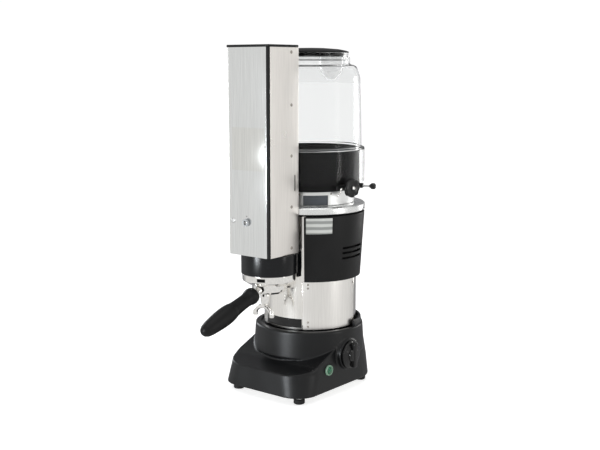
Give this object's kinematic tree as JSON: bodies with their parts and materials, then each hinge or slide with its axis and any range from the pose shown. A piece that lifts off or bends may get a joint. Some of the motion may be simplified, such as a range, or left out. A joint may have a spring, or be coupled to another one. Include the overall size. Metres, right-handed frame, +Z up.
{
  "type": "burr coffee grinder with auger tamper",
  "caption": "Espresso grinder with a round motor column, clear bean hopper and a sheet-metal tower whose auger fills and tamps a locked portafilter.",
  "frame": {"origin": "middle of the overall box, on the floor", "axes": "+Z up, -Y towards the user (portafilter handle), +X to the side with the power knob"},
  "size_m": [0.2206, 0.4036, 0.62],
  "materials": {
    "black_paint": "satin black powder coat",
    "brushed_steel": "fine brushed stainless sheet",
    "polished_steel": "polished stainless sheet",
    "rubber": "matt black rubber",
    "grey_plastic": "grey moulding",
    "chrome": "bright chrome",
    "green_lens": "green lens",
    "black_plastic": "satin black moulding",
    "gloss_black": "gloss black phenolic",
    "winding_iron": "laminations with varnished windings",
    "cast_aluminium": "machined casting",
    "tool_steel": "ground steel",
    "clear_plastic": "clear polycarbonate"
  },
  "bodies": {
    "frame": {"auger_gearbox": "cast_aluminium", "auger_motor": "tool_steel", "auger_tube": "tool_steel", "base_housing": "black_paint", "base_plate": "brushed_steel", "chute": "cast_aluminium", "column_panel_left": "brushed_steel", "column_panel_right": "brushed_steel", "column_tube": "polished_steel", "cord_gland": "black_plastic", "corner_trim_left": "black_plastic", "corner_trim_right": "black_plastic", "foot_front_left": "rubber", "foot_front_right": "rubber", "foot_rear_left": "rubber", "foot_rear_right": "rubber", "grinding_chamber": "cast_aluminium", "group_collar": "chrome", "group_housing": "black_paint", "hopper_collar": "black_plastic", "lower_bearing": "tool_steel", "mid_cover": "black_plastic", "motor_bracket": "brushed_steel", "motor_lower_bracket": "cast_aluminium", "motor_stator": "winding_iron", "motor_upper_bracket": "cast_aluminium", "pilot_lamp_bezel": "chrome", "pilot_lamp_lens": "green_lens", "rating_plate": "brushed_steel", "rear_cowl": "black_paint", "rotary_switch": "grey_plastic", "run_capacitor": "grey_plastic", "tamp_spring": "tool_steel", "top_flange": "cast_aluminium", "tower_back_plate": "brushed_steel", "tower_cap": "black_plastic", "tower_floor": "brushed_steel", "tower_front_panel": "polished_steel", "tower_side_left": "brushed_steel", "tower_side_right": "brushed_steel", "upper_bearing": "tool_steel"},
    "rotor": {"rotor": "tool_steel", "lower_burr": "tool_steel"},
    "burr_ring": {"adjust_ring": "cast_aluminium", "upper_burr": "tool_steel"},
    "adjust_knob": {"adjust_knob": "gloss_black", "adjust_pinion_shaft": "chrome"},
    "bean_gate": {"gate_slide": "tool_steel", "gate_knob": "gloss_black"},
    "hopper": {"hopper_shell": "clear_plastic"},
    "lid": {"hopper_lid": "black_plastic"},
    "auger": {"auger_shaft": "tool_steel", "auger_flight": "tool_steel"},
    "portafilter": {"portafilter_head": "chrome", "filter_basket": "tool_steel", "portafilter_spout": "chrome", "portafilter_handle": "black_plastic"},
    "power_knob": {"power_knob": "gloss_black"},
    "tamp_dial": {"tamp_dial": "gloss_black"},
    "thumbscrew": {"side_thumbscrew": "gloss_black"}
  },
  "joints": [
    {"name": "rotor_spin", "type": "hinge", "parent": "frame", "child": "rotor", "pos_m": [-0.00815, 0.08729, 0.24], "axis": [0, 0, 1], "continuous": true},
    {"name": "grind_ring_turn", "type": "hinge", "parent": "frame", "child": "burr_ring", "pos_m": [-0.00815, 0.08729, 0.364], "axis": [0, 0, 1], "range_deg": [-30, 30]},
    {"name": "grind_knob_turn", "type": "hinge", "parent": "frame", "child": "adjust_knob", "pos_m": [0.09244, 0.06865, 0.3736], "axis": [0.9833, -0.1822, 0], "range_deg": [-330, 330]},
    {"name": "bean_gate_slide", "type": "slide", "parent": "frame", "child": "bean_gate", "axis": [0.9397, 0.342, 0], "range_m": [0, 0.044]},
    {"name": "hopper_lift", "type": "slide", "parent": "frame", "child": "hopper", "axis": [0, 0, 1], "range_m": [0, 0.12]},
    {"name": "lid_lift", "type": "slide", "parent": "hopper", "child": "lid", "axis": [0, 0, 1], "range_m": [0, 0.08]},
    {"name": "auger_spin", "type": "hinge", "parent": "frame", "child": "auger", "pos_m": [-0.00815, -0.02971, 0.35], "axis": [0, 0, 1], "continuous": true},
    {"name": "portafilter_turn", "type": "hinge", "parent": "frame", "child": "portafilter", "pos_m": [-0.00815, -0.02971, 0.214], "axis": [0, 0, 1], "range_deg": [-45, 0]},
    {"name": "power_knob_turn", "type": "hinge", "parent": "frame", "child": "power_knob", "pos_m": [0.09635, 0.07089, 0.0713], "axis": [1, 0, 0], "range_deg": [-90, 0]},
    {"name": "tamp_dial_turn", "type": "hinge", "parent": "frame", "child": "tamp_dial", "pos_m": [-0.01255, -0.08371, 0.3196], "axis": [0, -1, 0], "range_deg": [-150, 150]},
    {"name": "thumbscrew_turn", "type": "hinge", "parent": "frame", "child": "thumbscrew", "pos_m": [-0.05365, -0.07071, 0.4039], "axis": [-1, 0, 0], "continuous": true}
  ],
  "couplings": [
    {"joint": "grind_knob_turn", "follows": "grind_ring_turn", "ratio": 11}
  ]
}
